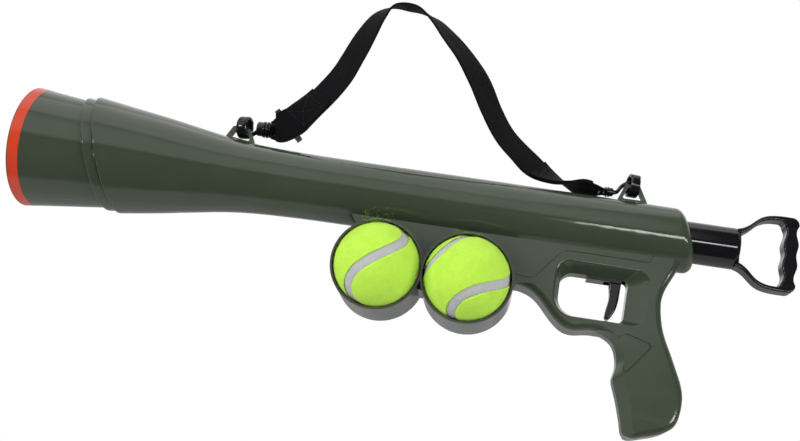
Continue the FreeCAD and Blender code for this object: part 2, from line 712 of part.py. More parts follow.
def make_slider():
    """Flat keeper around the webbing near the front swivel."""
    b = body("strap_slider")
    wide = size("strap_w") + 2.0
    thick = size("strap_t") + 1.0
    frame = lines([(-wide / 2 - 2.2, -2.4), (wide / 2 + 2.2, -2.4), (wide / 2 + 2.2, 2.4),
                   (-wide / 2 - 2.2, 2.4)])
    slot = lines([(-wide / 2, -thick / 2), (wide / 2, -thick / 2), (wide / 2, thick / 2),
                  (-wide / 2, thick / 2)])
    pad(b, sketch(b, "XY_Plane", frame + slot), 4.6, False, True)
    a, c = STRAP[2], STRAP[3]
    mid = Vector((a[0] + c[0]) / 2, 0, (a[1] + c[1]) / 2)
    tilt = math.degrees(math.atan2(c[0] - a[0], c[1] - a[1]))
    b.Placement = Placement(mid, Rotation(Vector(0, 1, 0), tilt))
    return b


def make_ball(name, c):
    """Rubber core and felt of one ball."""
    out = []
    mid = BALL_R - 3.1
    for label, r1, r0 in (("core", mid, mid - 3.3), ("felt", BALL_R, mid)):
        b = body("%s_%s" % (name, label))
        shape = [arc_of((0, 0), r1, 0, 180), line((-r1, 0), (-r0, 0)), arc_of((0, 0), r0, 0, 180),
                 line((r0, 0), (r1, 0))]
        revolve(b, sketch(b, "XZ_Plane", shape))
        b.Placement = Placement(Vector(c[0], BALL_Y, c[1]), Rotation())
        out.append(b)
    return out


made = []
made.append(make_shell("left_shell", -1))
made.append(make_shell("right_shell", 1))
made.append(make_collar())
RIM = size("rim_r")
BAND_DEEP = size("band_depth")
made.append(make_ring("rim_band", [(RIM_X, RIM - BAND_DEEP), (RIM_X, RIM - 0.5), (RIM_X + 0.6, RIM + 0.1),
                                   (BAND_END, cone(BAND_END) + 0.1), (BAND_END, cone(BAND_END) - BAND_DEEP)]))
FINE = size("bore_r")
made.append(make_ring("spring_bulkhead", [(BULK_X, BUSH_IN), (BULK_X, FINE), (BULK_END, FINE),
                                          (BULK_END, BUSH_IN)]))
made.append(make_ring("rear_bush", [(492, BUSH_IN), (492, FINE), (size("end_wall"), FINE),
                                    (size("end_wall"), BUSH_IN)]))
made.append(make_pump())
HEAD = size("pump_front")
made.append(make_ring("plunger_head", [(HEAD - 10, 0), (HEAD - 10, 20), (HEAD - 8, 22), (HEAD + 4, 22),
                                       (HEAD + 8, 20.6), (HEAD + size("head_len"), 20.6),
                                       (HEAD + size("head_len"), PUMP_R + 0.05), (HEAD - 0.05, PUMP_R + 0.05),
                                       (HEAD - 0.05, 0)]))
made.append(make_ring("bumper_pad", [(HEAD - 17, 0), (HEAD - 17, 14), (HEAD - 14, 17.5), (HEAD - 10, 18.5),
                                     (HEAD - 10, 0)]))
made.append(make_handle())
coil = make_coil("main_spring", 18.6, 1.1, BULK_X - HEAD - size("head_len"), 16)
coil.Placement = Placement(Vector(HEAD + size("head_len"), 0, 0), Rotation())
made.append(coil)
made.append(make_trigger())
made.append(make_sear())
made.append(make_pin("trigger_pin", PIVOT, LOW_ROOM))
made.append(make_pin("sear_pin", SEAR, WEB - WALL))
made.append(make_plate())
coil = make_coil("trigger_spring", 1.2, 0.25, 3.6, 4, along="V_Axis")
coil.Placement = Placement(Vector(467.4, 0, -34.6), Rotation())
made.append(coil)
coil = make_coil("sear_spring", 2.4, 0.3, 4.0, 4, along="V_Axis")
coil.Placement = Placement(Vector(448.0, 0, -34.6), Rotation())
made.append(coil)
made.append(make_screws())
made.append(make_loop("front_sling_loop", [(160.5, 26), (167.6, 40.8), (181.8, 39.4), (189.5, 24)],
                      [(166.0, 31.6), (169.4, 38.0), (180.0, 36.9), (183.0, 29.4)]))
made.append(make_loop("rear_sling_loop", [(471.5, 21), (478.0, 38.4), (489.0, 37.4), (497.5, 21)],
                      [(476.4, 26.4), (480.2, 35.7), (487.2, 35.0), (491.8, 26.4)]))
FRONT_RING = (175.4, 0.0, 41.0)
REAR_RING = (483.6, 0.0, 38.0)
made.append(make_hook("front_hook", FRONT_RING, [(177.6, -4.71, 46.4), (182.0, -3.2, 45.0), (184.1, -0.4, 42.2)],
                      True))
made.append(make_gate("front_gate", FRONT_RING, True))
made.append(make_swivel("front_swivel", (186.4, 0, 41.8), 0.0, (5.6, 11.3, 16.0)))
made.append(make_hook("rear_hook", REAR_RING, [(481.4, 4.71, 43.4), (473.0, 5.6, 36.6), (471.6, 0.3, 31.3)],
                      False))
made.append(make_gate("rear_gate", REAR_RING, False))
made.append(make_swivel("rear_swivel", (469.3, 0, 30.9), 174.0, (3.0, 7.0, 14.0)))
made.append(make_strap())
made.append(make_slider())
for name, c in zip(("front_ball", "rear_ball"), CUPS):
    made += make_ball(name, c)

# The rim's front plane goes to X = 0
for part in made:
    part.Placement = Placement(Vector(-RIM_X, 0, 0), Rotation()).multiply(part.Placement)

doc.recompute()
bad = [o.Label for o in doc.Objects if "Invalid" in o.State or "Error" in o.State]
for part in made:
    shape = part.Shape
    if shape.isNull() or not shape.isValid() or shape.Volume <= 0:
        bad.append(part.Label)
if bad:
    raise RuntimeError("bad objects: %s" % ", ".join(bad))
for part in made:
    part.Shape.exportStep("parts/%s.step" % part.Label)
    box = part.Shape.BoundBox
    print("%-18s %2d %10.0f  %6.1f %6.1f  %6.1f %6.1f  %6.1f %6.1f" % (
        part.Label, len(part.Shape.Solids), part.Shape.Volume, box.XMin, box.XMax, box.YMin,
        box.YMax, box.ZMin, box.ZMax))
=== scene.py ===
"""Dressed model of a hand-held launcher for tennis balls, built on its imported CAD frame."""

import json
import logging
import math
import random
from dataclasses import dataclass, field
from enum import Enum
from typing import Iterable, Sequence

import bmesh
import bpy
from mathutils import Matrix, Quaternion, Vector, kdtree, noise


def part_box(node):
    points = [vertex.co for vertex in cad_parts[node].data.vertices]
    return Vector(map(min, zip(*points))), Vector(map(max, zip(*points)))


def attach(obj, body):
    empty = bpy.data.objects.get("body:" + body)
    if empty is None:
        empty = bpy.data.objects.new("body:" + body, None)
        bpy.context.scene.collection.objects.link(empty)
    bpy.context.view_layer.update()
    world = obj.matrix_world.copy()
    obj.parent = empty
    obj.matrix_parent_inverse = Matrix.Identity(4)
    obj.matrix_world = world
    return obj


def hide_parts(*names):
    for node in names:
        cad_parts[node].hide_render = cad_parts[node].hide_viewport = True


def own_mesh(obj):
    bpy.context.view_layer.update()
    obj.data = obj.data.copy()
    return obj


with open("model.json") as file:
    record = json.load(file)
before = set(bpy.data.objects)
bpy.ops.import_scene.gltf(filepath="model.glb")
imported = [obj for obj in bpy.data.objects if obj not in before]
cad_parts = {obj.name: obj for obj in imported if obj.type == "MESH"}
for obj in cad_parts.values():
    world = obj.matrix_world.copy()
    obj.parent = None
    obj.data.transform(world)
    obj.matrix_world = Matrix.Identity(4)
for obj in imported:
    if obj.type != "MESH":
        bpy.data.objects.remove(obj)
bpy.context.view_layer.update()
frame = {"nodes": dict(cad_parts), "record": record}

LOG = logging.getLogger("launcher")
MM = 0.001
Colour = tuple[float, float, float]
Floats = Sequence[float]
Node = bpy.types.Node
Source = Node | tuple[Node, str | int]
Material = bpy.types.Material
Mesh = bmesh.types.BMesh
Piece = bpy.types.Object


class Body(Enum):
    """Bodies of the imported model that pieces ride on."""

    LAUNCHER = "launcher"
    PLUNGER = "plunger"
    SLING = "sling"
    FRONT_GATE = "front_gate"
    REAR_GATE = "rear_gate"
    FRONT_BALL = "front_ball"
    REAR_BALL = "rear_ball"


class Slot(Enum):
    """Material slots of the record."""

    SHELL = "green_shell"
    BAND = "orange_band"
    GREY = "grey_plastic"
    BLACK = "black_plastic"
    TUBE = "black_tube"
    PAD = "rubber_pad"
    STEEL = "spring_steel"
    ZINC = "zinc_screw"
    WEBBING = "webbing"
    RUBBER = "ball_rubber"
    FELT = "ball_felt"


class Tree:
    """Node tree of a material or world, with short calls to add and join its nodes."""

    def __init__(self, owner: Material | bpy.types.World) -> None:
        """Start with an empty tree in a material or world."""
        owner.use_nodes = True
        self.nodes = owner.node_tree.nodes
        self.links = owner.node_tree.links
        self.nodes.clear()

    def add(self, kind: str, sockets: dict | None = None, **settings: object) -> Node:
        """Add one node and return it.

        Args:
            kind: shader node type, without its ShaderNode prefix.
            sockets: values for its input sockets, by name or number.
            settings: values for its own properties.
        """
        node = self.nodes.new("ShaderNode" + kind)
        for key, value in settings.items():
            setattr(node, key, value)
        for key, value in (sockets or {}).items():
            node.inputs[key].default_value = value
        return node

    def join(self, source: Source, target: Node, into: str | int) -> None:
        """Link an output to an input socket.

        Args:
            source: node and its output, or a node alone for its main output.
            target: node that it goes to.
            into: input socket.
        """
        if isinstance(source, Node):
            source = source, 2 if source.bl_idname == "ShaderNodeMix" else 0
        node, out = source
        self.links.new(node.outputs[out], target.inputs[into])

    def place(self, uv: bool = False, stretch: Floats = (1, 1, 1)) -> Node:
        """Mapping node with the coordinates for the textures.

        Args:
            uv: take the piece's UV map in place of its Object coordinates.
            stretch: scale along each axis.
        """
        coords = self.add("TexCoord")
        mapping = self.add("Mapping", {"Scale": stretch})
        self.join((coords, "UV" if uv else "Object"), mapping, "Vector")
        return mapping

    def noise(self, at: Node, scale: float, detail: float = 2.0, rough: float = 0.5) -> Node:
        """Noise texture read at the given coordinates."""
        node = self.add("TexNoise", {"Scale": scale, "Detail": detail, "Roughness": rough})
        self.join(at, node, "Vector")
        return node

    def spread(self, source: Source, span: Floats, to: Floats) -> Node:
        """Map Range from one span of values to another."""
        ends = {"From Min": span[0], "From Max": span[1], "To Min": to[0], "To Max": to[1]}
        node = self.add("MapRange", ends)
        self.join(source, node, "Value")
        return node

    def math(self, kind: str, first: Source, second: Source | float) -> Node:
        """Math node for an operation on two sources, or on a source and a number."""
        node = self.add("Math", operation=kind)
        for into, value in enumerate((first, second)):
            if isinstance(value, float):
                node.inputs[into].default_value = value
            else:
                self.join(value, node, into)
        return node

    def blend(self, mask: Node, first: Colour | Node, second: Colour | Node) -> Node:
        """Mix of two colours, or of colour nodes, by a mask."""
        node = self.add("Mix", data_type="RGBA")
        self.join(mask, node, 0)
        for value, into in ((first, 6), (second, 7)):
            if isinstance(value, Node):
                self.join(value, node, into)
            else:
                node.inputs[into].default_value = (*value, 1.0)
        return node

    def bump(self, source: Node, depth: float, under: Node | None = None) -> Node:
        """Bump from a height, laid over another bump where one is given."""
        node = self.add("Bump", {"Strength": 1.0, "Distance": depth})
        self.join(source, node, "Height")
        if under is not None:
            self.join(under, node, "Normal")
        return node


class Coat(Tree):
    """Node tree of one material, from its colour, roughness and bump to its output."""

    def __init__(self, name: str) -> None:
        """Start a named material whose tree holds only its shader and output."""
        self.material = bpy.data.materials.new(name)
        super().__init__(self.material)
        self.shader = self.add("BsdfPrincipled")
        self.output = self.add("OutputMaterial")
        self.join(self.shader, self.output, "Surface")

    def finish(self, colour: Node, rough: Node, normal: Node, **sockets: object) -> Material:
        """Join colour, roughness and normal to the shader, set its plain sockets and return the material."""
        for source, into in ((colour, "Base Color"), (rough, "Roughness"), (normal, "Normal")):
            self.join(source, self.shader, into)
        for key, value in sockets.items():
            self.shader.inputs[key.replace("_", " ")].default_value = value
        return self.material


@dataclass(frozen=True)
class Moulded:
    """Injection-moulded plastic: faint mottle, orange peel, lighter worn edges and painted shade in its
    crevices.
    """

    name: str
    colour: Colour
    shade: Colour
    edge: Colour
    rough: float = 0.10
    peel: float = 0.01 * MM
    worn: float = 0.25
    worn_reach: float = 0.9 * MM
    # reach of the painted shade that darkens crevices, grooves and gaps between parts
    painted_shade_reach: float = 1.4 * MM
    # half width and colour of the line where two mould halves meet, for a piece that has one
    parted: bool = False
    line_half: Floats = (0.05 * MM, 0.20 * MM)
    line_colour: Colour = (0.018, 0.024, 0.013)
    # place along X up to which the piece's front edge is olive
    lip: float = 0.0

    def wear(self, t: Coat, at: Node) -> Node:
        """Mask of the sharp edges, broken up by noise."""
        rounded = t.add("Bevel", {"Radius": self.worn_reach}, samples=4)
        facing = t.add("NewGeometry")
        meet = t.add("VectorMath", operation="DOT_PRODUCT")
        t.join(rounded, meet, 0)
        t.join((facing, "Normal"), meet, 1)
        sharp = t.spread((meet, "Value"), (0.99, 0.86), (0.0, self.worn))
        patches = t.spread(t.noise(at, 160.0, 3.0), (0.3, 0.7), (0.3, 1.0))
        return t.math("MULTIPLY", sharp, patches)

    def build(self) -> Material:
        """Make the material."""
        t = Coat(self.name)
        at = t.place()
        mottle = t.spread(t.noise(at, 22.0, 3.0), (0.35, 0.65), (0.0, 1.0))
        colour = t.blend(mottle, self.colour, self.shade)
        colour = t.blend(self.wear(t, at), colour, self.edge)
        scuff = t.noise(t.place(stretch=(30, 140, 140)), 1.0, 4.0, 0.6)
        # painted shade: ambient occlusion darkens the colour in crevices, grooves and between parts
        shade_occlusion = t.add("AmbientOcclusion", {"Distance": self.painted_shade_reach}, samples=6)
        painted_shade = t.spread((shade_occlusion, "AO"), (0.35, 0.85), (0.7, 0.0))
        colour = t.blend(painted_shade, colour, tuple(0.15 * c for c in self.shade))
        rough = t.spread(scuff, (0.3, 0.7), (self.rough - 0.03, self.rough + 0.05))
        normal = t.bump(t.noise(at, 95.0, 1.0), self.peel)
        side = t.add("SeparateXYZ")
        t.join(at, side, 0)
        if self.lip:
            lapped = t.spread((side, "X"), (self.lip, self.lip + 0.1 * MM), (1.0, 0.0))
            colour = t.blend(lapped, colour, OLIVE[1])
        if self.parted:
            line = t.spread(t.math("ABSOLUTE", (side, "Y"), 0.0), self.line_half, (0.8, 0.0))
            colour = t.blend(line, colour, self.line_colour)
            normal = t.bump(line, -0.03 * MM, normal)
        return t.finish(colour, rough, normal)


@dataclass(frozen=True)
class Felt:
    """Woollen nap of a tennis ball: short tangled fibres, brighter at their tips."""

    name: str = "ball_nap"
    colour: Colour = (0.55, 0.88, 0.078)
    shade: Colour = (0.44, 0.77, 0.050)

    def build(self) -> Material:
        """Make the material."""
        t = Coat(self.name)
        at = t.place()
        wide = t.noise(at, 90.0, 3.0)
        fine = t.noise(at, 1400.0, 4.0, 0.7)
        strands = t.noise(t.place(stretch=(900, 2600, 2600)), 1.0, 3.0, 0.6)
        clumps = t.spread(wide, (0.35, 0.7), (0.2, 0.9))
        mask = t.math("MULTIPLY", clumps, t.spread(fine, (0.35, 0.65), (0.1, 1.0)))
        colour = t.blend(mask, self.colour, self.shade)
        rough = t.spread(fine, (0.2, 0.8), (0.85, 1.0))
        low = t.bump(strands, 0.3 * MM)
        normal = t.bump(fine, 0.4 * MM, low)
        return t.finish(colour, rough, normal, Sheen_Weight=0.35, Sheen_Roughness=0.5,
                        Sheen_Tint=(0.75, 1.0, 0.3, 1.0))


@dataclass(frozen=True)
class Rubber:
    """Vulcanised rubber: matt, with a faint pitted skin."""

    name: str
    colour: Colour
    shade: Colour
    rough: float = 0.62

    def build(self) -> Material:
        """Make the material."""
        t = Coat(self.name)
        at = t.place()
        mask = t.spread(t.noise(at, 300.0, 4.0, 0.6), (0.3, 0.7), (0.0, 1.0))
        colour = t.blend(mask, self.colour, self.shade)
        rough = t.spread(t.noise(at, 240.0), (0.3, 0.7), (self.rough - 0.06, self.rough + 0.1))
        normal = t.bump(t.noise(at, 900.0, 3.0), 0.12 * MM)
        return t.finish(colour, rough, normal)


@dataclass(frozen=True)
class Webbing:
    """Woven nylon webbing, with its yarns laid out along the piece's UV map in millimetres."""

    name: str = "nylon_webbing"
    colour: Colour = (0.0025, 0.0025, 0.0032)
    shade: Colour = (0.0060, 0.0060, 0.0075)
    yarn: float = 1.9
    row: float = 0.95

    def build(self) -> Material:
        """Make the material."""
        t = Coat(self.name)
        at = t.place(uv=True)
        yarns = {"Color1": (1, 1, 1, 1), "Color2": (0.8, 0.8, 0.8, 1), "Mortar": (0, 0, 0, 1), "Scale": 1.0,
                 "Mortar Size": 0.18, "Mortar Smooth": 1.0, "Brick Width": self.yarn, "Row Height": self.row}
        weave = t.add("TexBrick", yarns, offset=0.5)
        t.join(at, weave, "Vector")
        lint = t.noise(at, 3.0, 4.0, 0.7)
        mask = t.math("MULTIPLY", weave, t.spread(lint, (0.35, 0.7), (0.2, 1.0)))
        colour = t.blend(mask, self.colour, self.shade)
        rough = t.spread(lint, (0.3, 0.7), (0.55, 0.8))
        low = t.bump(weave, 0.28 * MM)
        normal = t.bump(t.noise(at, 9.0, 2.0), 0.06 * MM, low)
        return t.finish(colour, rough, normal, Specular_IOR_Level=0.08, Sheen_Weight=0.006,
                        Sheen_Roughness=0.4)


@dataclass(frozen=True)
class Steel:
    """Drawn or plated steel with fine lines along its working direction."""

    name: str
    colour: Colour
    rough: float = 0.28
    lines: Floats = (200, 2500, 2500)

    def build(self) -> Material:
        """Make the material."""
        t = Coat(self.name)
        at = t.place()
        streak = t.noise(t.place(stretch=self.lines), 1.0, 2.0)
        dull = tuple(0.8 * c for c in self.colour)
        cloudy = t.spread(t.noise(at, 120.0, 3.0), (0.35, 0.65), (0, 1))
        colour = t.blend(cloudy, self.colour, dull)
        rough = t.spread(streak, (0.3, 0.7), (self.rough - 0.06, self.rough + 0.1))
        normal = t.bump(streak, 0.03 * MM)
        return t.finish(colour, rough, normal, Metallic=1.0)


# colour, shade and worn edge of the olive mouldings
OLIVE = ((0.0405, 0.0530, 0.0335), (0.0365, 0.0485, 0.0300), (0.09, 0.105, 0.075))
FINISHES = {
    Slot.SHELL: Moulded("olive_plastic", *OLIVE),
    Slot.BAND: Moulded("orange_plastic", (0.56, 0.045, 0.012), (0.51, 0.040, 0.010), (0.62, 0.09, 0.03),
                       rough=0.2, lip=1.0 * MM),
    Slot.GREY: Moulded("grey_plastic", (0.19,) * 3, (0.16,) * 3, (0.26,) * 3, rough=0.35),
    Slot.BLACK: Moulded("black_plastic", (0.0045, 0.0045, 0.0060), (0.0035, 0.0035, 0.0048),
                        (0.012, 0.012, 0.014), rough=0.14, worn=0.06),
    Slot.TUBE: Moulded("black_tube", (0.004, 0.004, 0.0055), (0.003, 0.003, 0.0045), (0.014, 0.014, 0.016),
                       rough=0.06, peel=0.005 * MM),
    Slot.PAD: Rubber("pad_rubber", (0.022,) * 3, (0.03,) * 3),
    Slot.STEEL: Steel("spring_steel", (0.50, 0.50, 0.51)),
    Slot.ZINC: Steel("zinc_plate", (0.62, 0.62, 0.60), 0.34, (900, 900, 900)),
    Slot.WEBBING: Webbing(),
    Slot.RUBBER: Rubber("seam_rubber", (0.46, 0.47, 0.48), (0.41, 0.42, 0.43), 0.75),
    Slot.FELT: Felt(),
}
OWN = {
    "core": Rubber("core_rubber", (0.05,) * 3, (0.04,) * 3),
    "shell": Moulded("olive_halves", *OLIVE, parted=True),
    "thread": Rubber("sewing_thread", (0.009, 0.009, 0.010), (0.006, 0.006, 0.007), 0.6),
}


class Paints:
    """The finished materials, made once and shared by slot."""

    def __init__(self) -> None:
        """Build every finish."""
        self.by_slot = {slot: finish.build() for slot, finish in FINISHES.items()}
        self.own = {name: finish.build() for name, finish in OWN.items()}

    def dress(self, obj: Piece, slot: Slot, own: str | None = None) -> None:
        """Give an object the finish of a slot, or a finish of its own in that slot."""
        paint = self.own[own] if own else self.by_slot[slot]
        if obj.data.materials:
            for i in range(len(obj.data.materials)):
                obj.data.materials[i] = paint
        else:
            obj.data.materials.append(paint)

    def place(self, obj: Piece, body: Body, slot: Slot, own: str | None = None) -> Piece:
        """Let a piece ride on its body, dress it in its slot's finish and report it."""
        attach(obj, body.value)
        self.dress(obj, slot, own)
        LOG.info("piece %s rides on %s, %d faces", obj.name, body.value, len(obj.data.polygons))
        return obj


def shown(name: str, data: bpy.types.ID) -> Piece:
    """New object in the scene."""
    obj = bpy.data.objects.new(name, data)
    bpy.context.scene.collection.objects.link(obj)
    return obj


def settle(bm: Mesh, name: str, smooth: bool = True) -> Piece:
    """Turn a bmesh, which is freed, into an object at the origin."""
    mesh = bpy.data.meshes.new(name)
    bm.to_mesh(mesh)
    bm.free()
    for face in mesh.polygons:
        face.use_smooth = smooth
    return shown(name, mesh)


def gathered(parts: Iterable[Mesh]) -> Mesh:
    """Join meshes, which are freed, into one."""
    whole = bmesh.new()
    batch = bpy.data.meshes.new("batch")
    for bm in parts:
        bm.to_mesh(batch)
        bm.free()
        whole.from_mesh(batch)
    bpy.data.meshes.remove(batch)
    return whole


def any_way(draw: random.Random) -> Vector:
    """Vector in a direction drawn at random."""
    return Vector((draw.gauss(0, 1), draw.gauss(0, 1), draw.gauss(0, 1)))


def outward(bm: Mesh) -> None:
    """Let all faces look outwards."""
    bmesh.ops.recalc_face_normals(bm, faces=bm.faces)


def move(bm: Mesh, way: Vector | Floats) -> None:
    """Move a mesh."""
    bmesh.ops.translate(bm, verts=bm.verts, vec=way)


def turn_about(bm: Mesh, degrees: float, axis: str) -> None:
    """Turn a mesh about one axis through the origin."""
    matrix = Matrix.Rotation(math.radians(degrees), 3, axis)
    bmesh.ops.rotate(bm, verts=bm.verts, cent=(0, 0, 0), matrix=matrix)


def lathe(profile: Sequence[tuple[float, float]], steps: int = 48) -> Mesh:
    """Turned solid about X.

    Args:
        profile: distance along X and radius of each point in mm, from one end to the other.
        steps: faces around.

    Returns:
        The mesh, closed where the profile starts and ends on the axis.
    """
    bm = bmesh.new()
    verts = [bm.verts.new((x * MM, 0.0, r * MM)) for x, r in profile]
    edges = [bm.edges.new(pair) for pair in zip(verts, verts[1:])]
    bmesh.ops.spin(bm, geom=verts + edges, cent=(0, 0, 0), axis=(1, 0, 0), angle=math.tau, steps=steps,
                   use_merge=True)
    bmesh.ops.remove_doubles(bm, verts=bm.verts, dist=1e-6)
    outward(bm)
    return bm


def between(a: Vector | float, b: Vector | float, c: Vector | float, d: Vector | float,
            f: float) -> Vector | float:
    """Value a share f of the way from b to c, on a smooth curve through a, b, c and d."""
    bend, twist = 2 * a - 5 * b + 4 * c - d, 3 * b - a - 3 * c + d
    return 0.5 * (2 * b + (c - a) * f + bend * f * f + twist * f ** 3)


def smooth_run(points: Sequence[Vector], cuts: int, closed: bool = False) -> list[Vector]:
    """Points on a smooth curve through the given ones."""
    n = len(points)
    out = []
    for i in range(n if closed else n - 1):
        near = [points[(i + k) % n if closed else min(max(i + k, 0), n - 1)] for k in (-1, 0, 1, 2)]
        out += [between(*near, j / cuts) for j in range(cuts)]
    return out if closed else out + [points[-1]]


def bar(bm: Mesh, line: Sequence[Vector], radii: Floats, segments: int = 14,
        closed: bool = False) -> None:
    """Add a round bar that follows a line.

    Args:
        bm: mesh that it is added to.
        line: points that it follows.
        radii: its radius at each point.
        segments: faces around.
        closed: join its end to its start, or else cap both.
    """
    rings = []
    turn = Vector((0, 0, 1)).rotation_difference(line[1] - line[0])
    for i, (spot, radius) in enumerate(zip(line, radii)):
        before = line[i - 1] if closed or i else spot
        after = line[(i + 1) % len(line)] if closed or i + 1 < len(line) else spot
        turn = (turn @ Vector((0, 0, 1))).rotation_difference(after - before) @ turn
        made = bmesh.ops.create_circle(bm, segments=segments, radius=radius, cap_ends=False,
                                       matrix=Matrix.Translation(spot) @ turn.to_matrix().to_4x4())
        rings.append(list({e for v in made["verts"] for e in v.link_edges}))
    for first, second in zip(rings, rings[1:] + (rings[:1] if closed else [])):
        bmesh.ops.bridge_loops(bm, edges=first + second)
    if not closed:
        bmesh.ops.holes_fill(bm, edges=rings[0] + rings[-1], sides=0)


@dataclass
class Ball:
    """One tennis ball in its cup: felt cover, sunk rubber seam and loose fibres."""

    name: str
    node: str
    body: Body
    # axis of the ball's turn from its drawn place, as long as the turn's angle in radians
    turn: Floats
    # share of the seam's slow loop in its line, which sets how far its lobes reach
    lobe: float
    seed: int
    radius: float = 32.5 * MM
    seam_half: float = 3.7 * MM
    seam_knots: int = 1440
    # how deep the seam lies, how far the felt hangs over its edge and how wide that edge is rolled
    sink: float = 0.8 * MM
    overhang: float = 0.45 * MM
    rolled: float = 1.3 * MM
    skin_depth: float = 0.12 * MM
    root_depth: float = 0.25 * MM
    fibres: int = 6000
    batch: int = 50
    centre: Vector = field(init=False)
    line: kdtree.KDTree = field(init=False)

    def __post_init__(self) -> None:
        """Read the ball's place and lay out the seam's line."""
        low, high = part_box(self.node)
        self.centre = (low + high) / 2
        turn = Vector(self.turn)
        spin = Quaternion(turn.normalized(), turn.length)
        a, b = self.lobe, 1.0 - self.lobe
        c = 2.0 * math.sqrt(a * b)
        self.line = kdtree.KDTree(self.seam_knots)
        for i in range(self.seam_knots):
            s = math.tau * i / self.seam_knots
            point = Vector((a * math.cos(s) + b * math.cos(3 * s), a * math.sin(s) - b * math.sin(3 * s),
                            c * math.sin(2 * s)))
            self.line.insert(spin @ point, i)
        self.line.balance()

    def away(self, direction: Vector) -> float:
        """Distance over the ball from a direction to the middle of the seam, in metres."""
        return self.line.find(direction.normalized())[2] * self.radius

    def ball(self, detail: int) -> Mesh:
        """Round mesh about the origin."""
        bm = bmesh.new()
        bmesh.ops.create_icosphere(bm, subdivisions=detail, radius=self.radius)
        return bm

    def cover(self) -> Piece:
        """Felt cover, rolled down along the seam."""
        bm = self.ball(7)
        gaps = {v: self.away(v.co) for v in bm.verts}
        edge = self.seam_half - self.overhang
        bmesh.ops.delete(bm, geom=[v for v, d in gaps.items() if d < edge], context="VERTS")
        for v in bm.verts:
            roll = min(1.0, max(0.0, (gaps[v] - edge) / self.rolled))
            drop = (self.sink + self.overhang) * (1.0 - math.sqrt(1.0 - (1.0 - roll) ** 2))
            nap = 0.10 * MM * noise.noise(v.co * 420.0) + 0.09 * MM * noise.noise(v.co * 1300.0)
            v.co = v.co.normalized() * (self.radius - drop - self.skin_depth + nap)
        move(bm, self.centre)
        return settle(bm, self.name + "_cover")

    def seam(self) -> Piece:
        """Rubber band that shows between the two felt panels."""
        bm = self.ball(7)
        gaps = {v: self.away(v.co) for v in bm.verts}
        tucked = self.seam_half + 1.0 * MM
        bmesh.ops.delete(bm, geom=[v for v, d in gaps.items() if d > tucked], context="VERTS")
        for v in bm.verts:
            ripple = 0.05 * MM * noise.noise(v.co * 260.0)
            crown = 0.25 * MM * (gaps[v] / self.seam_half) ** 2
            v.co = v.co.normalized() * (self.radius - self.sink + ripple - crown)
        move(bm, self.centre)
        return settle(bm, self.name + "_seam")

    def nap(self) -> Piece:
        """Loose fibres that stand off the felt."""
        draw = random.Random(self.seed)
        tufts = (self.tuft(draw) for _ in range(self.fibres // self.batch))
        return settle(gathered(tufts), self.name + "_nap")

    def tuft(self, draw: random.Random) -> Mesh:
        """One batch of fibres, with those that would stand on the seam left out."""
        bm = bmesh.new()
        for _ in range(self.batch):
            out = any_way(draw).normalized()
            if self.away(out) < self.seam_half + 0.3 * MM:
                continue
            side = out.cross(any_way(draw)).normalized()
            along = (out * draw.uniform(0.3, 1.1) + side).normalized()
            length = draw.uniform(1.0, 2.6) * MM
            foot = self.centre + out * (self.radius - self.root_depth)
            turn = Vector((0, 0, 1)).rotation_difference(along).to_matrix().to_4x4()
            bmesh.ops.create_cone(bm, segments=3, radius1=0.06 * MM, radius2=0.02 * MM, depth=length,
                                  matrix=Matrix.Translation(foot + along * length / 2) @ turn)
        return bm

    def build(self, paints: Paints) -> None:
        """Make and dress the ball."""
        cover = paints.place(self.cover(), self.body, Slot.FELT)
        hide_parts(self.node)
        paints.place(self.seam(), self.body, Slot.RUBBER)
        paints.place(self.nap(), self.body, Slot.FELT)


@dataclass
class Lint:
    """Felt fibres rubbed off the balls, caught on the plastic above the cups."""

    # left, right, low and high edge of each patch, and its number of fibres
    patches: Sequence[tuple[float, float, float, float, int]] = (
        (275.0, 299.0, -27.5, -14.0, 150), (299.0, 316.0, -34.0, -25.0, 60),
        (258.0, 276.0, -37.0, -27.0, 50), (345.0, 372.0, -27.0, -20.0, 60))
    seed: int = 21
    knots: int = 5
    thick: float = 0.07 * MM

    def skin(self, x: float, z: float) -> Vector | None:
        """Point of the shells that a fibre coming in from the front meets first."""
        best = None
        for name in ("left_shell", "right_shell"):
            obj = bpy.data.objects[name]
            back = obj.matrix_world.inverted()
            start = back @ (Vector((x, -90.0, z)) * MM)
            hit, spot, _, _ = obj.ray_cast(start, back.to_3x3() @ Vector((0, 1, 0)))
            spot = obj.matrix_world @ spot
            if hit and (best is None or spot.y < best.y):
                best = spot
        return best

    def fibre(self, draw: random.Random, patch: Floats) -> list[Vector]:
        """Bent line of one fibre just off the plastic, cut short where it runs off."""
        left, right, low, high, _ = patch
        x, z = draw.uniform(left, right), draw.triangular(low, high, low)
        turn, bend, line = draw.uniform(0, math.tau), draw.uniform(-0.6, 0.6), []
        for _ in range(self.knots):
            spot = self.skin(x, z)
            if spot is None:
                break
            line.append(spot - Vector((0, draw.uniform(0.10, 0.45) * MM, 0)))
            step = draw.uniform(0.35, 0.75)
            x, z, turn = x + step * math.cos(turn), z + step * math.sin(turn), turn + bend
        return line

    def build(self, paints: Paints) -> None:
        """Make and dress the fibres as one piece."""
        draw = random.Random(self.seed)
        bm = bmesh.new()
        for patch in self.patches:
            for _ in range(patch[-1]):
                line = self.fibre(draw, patch)
                if len(line) == self.knots:
                    bar(bm, line, [self.thick / 2] * self.knots, 3)
        paints.place(settle(bm, "felt_lint"), Body.LAUNCHER, Slot.FELT)


